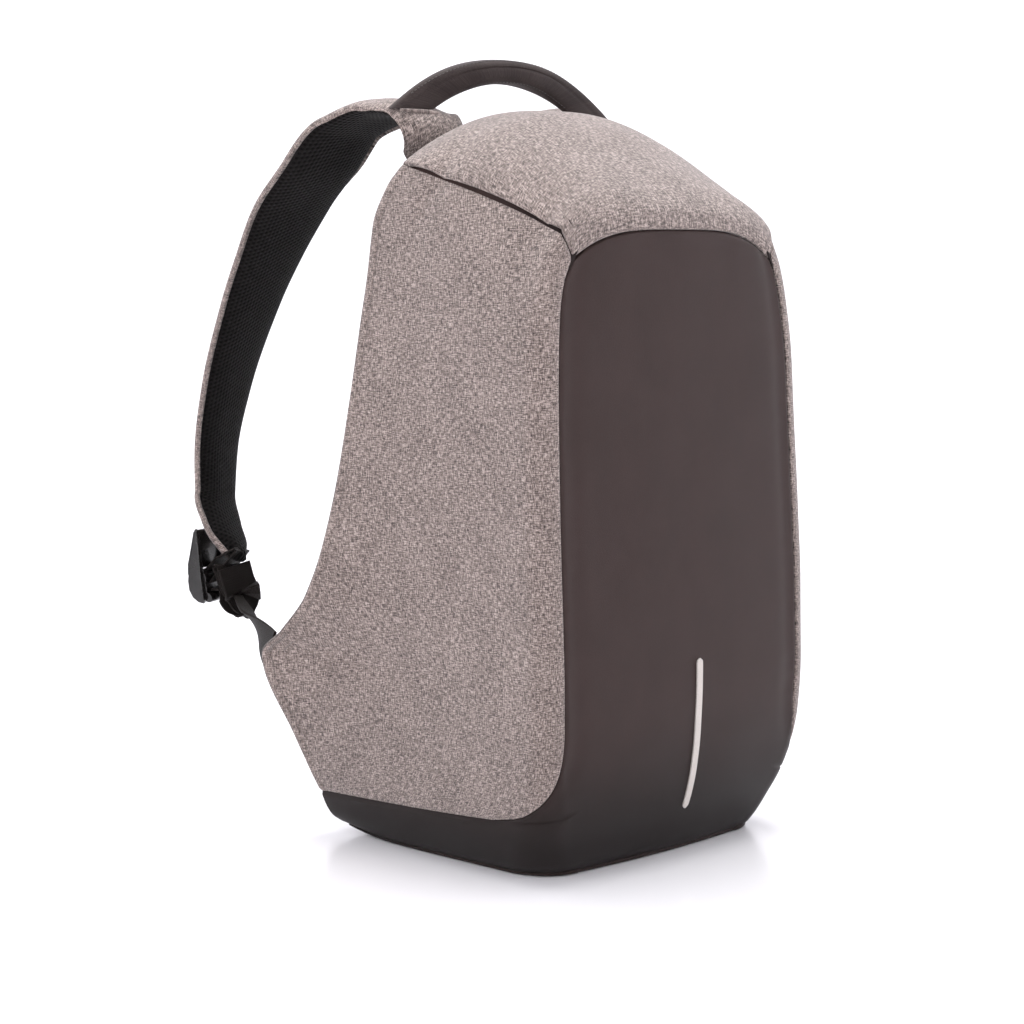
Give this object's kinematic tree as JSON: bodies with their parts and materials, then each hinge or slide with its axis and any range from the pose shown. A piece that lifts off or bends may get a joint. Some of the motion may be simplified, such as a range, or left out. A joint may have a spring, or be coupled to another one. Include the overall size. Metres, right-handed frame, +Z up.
{
  "type": "anti theft backpack",
  "caption": "Soft backpack with smooth shell sides flaring to wings, a dark front panel, slit seams, padded shoulder straps and a grab handle.",
  "frame": {"origin": "on the floor, under the middle of the base between the two sides", "axes": "+Z up, front faces -Y, +X to the right seen from the front"},
  "size_m": [0.3036, 0.3387, 0.4809],
  "materials": {
    "melange_cloth": "grey melange weave, matte",
    "coated_cloth": "smooth coated cloth, satin",
    "base_cloth": "coated cloth, matte",
    "back_padding": "black padded mesh",
    "spacer_mesh": "black knitted spacer mesh",
    "handle_cloth": "dark brown cloth, matte",
    "reflective_tape": "light grey reflective tape",
    "webbing": "woven webbing, slight sheen",
    "lock_plastic": "glossy black moulded plastic"
  },
  "bodies": {
    "root": {"front_panel": "coated_cloth", "side_panel_left": "melange_cloth", "side_panel_right": "melange_cloth", "roof_panel": "melange_cloth", "back_panel": "back_padding", "base_panel": "base_cloth", "strap_cover_left": "melange_cloth", "strap_cover_right": "melange_cloth", "strap_pad_left": "spacer_mesh", "strap_pad_right": "spacer_mesh", "grab_handle": "handle_cloth", "reflective_strip": "reflective_tape", "lower_webbing_left": "webbing", "lower_webbing_right": "webbing", "webbing_tail_left": "webbing", "webbing_tail_right": "webbing", "ladder_lock_left": "lock_plastic", "ladder_lock_right": "lock_plastic"}
  },
  "joints": []
}
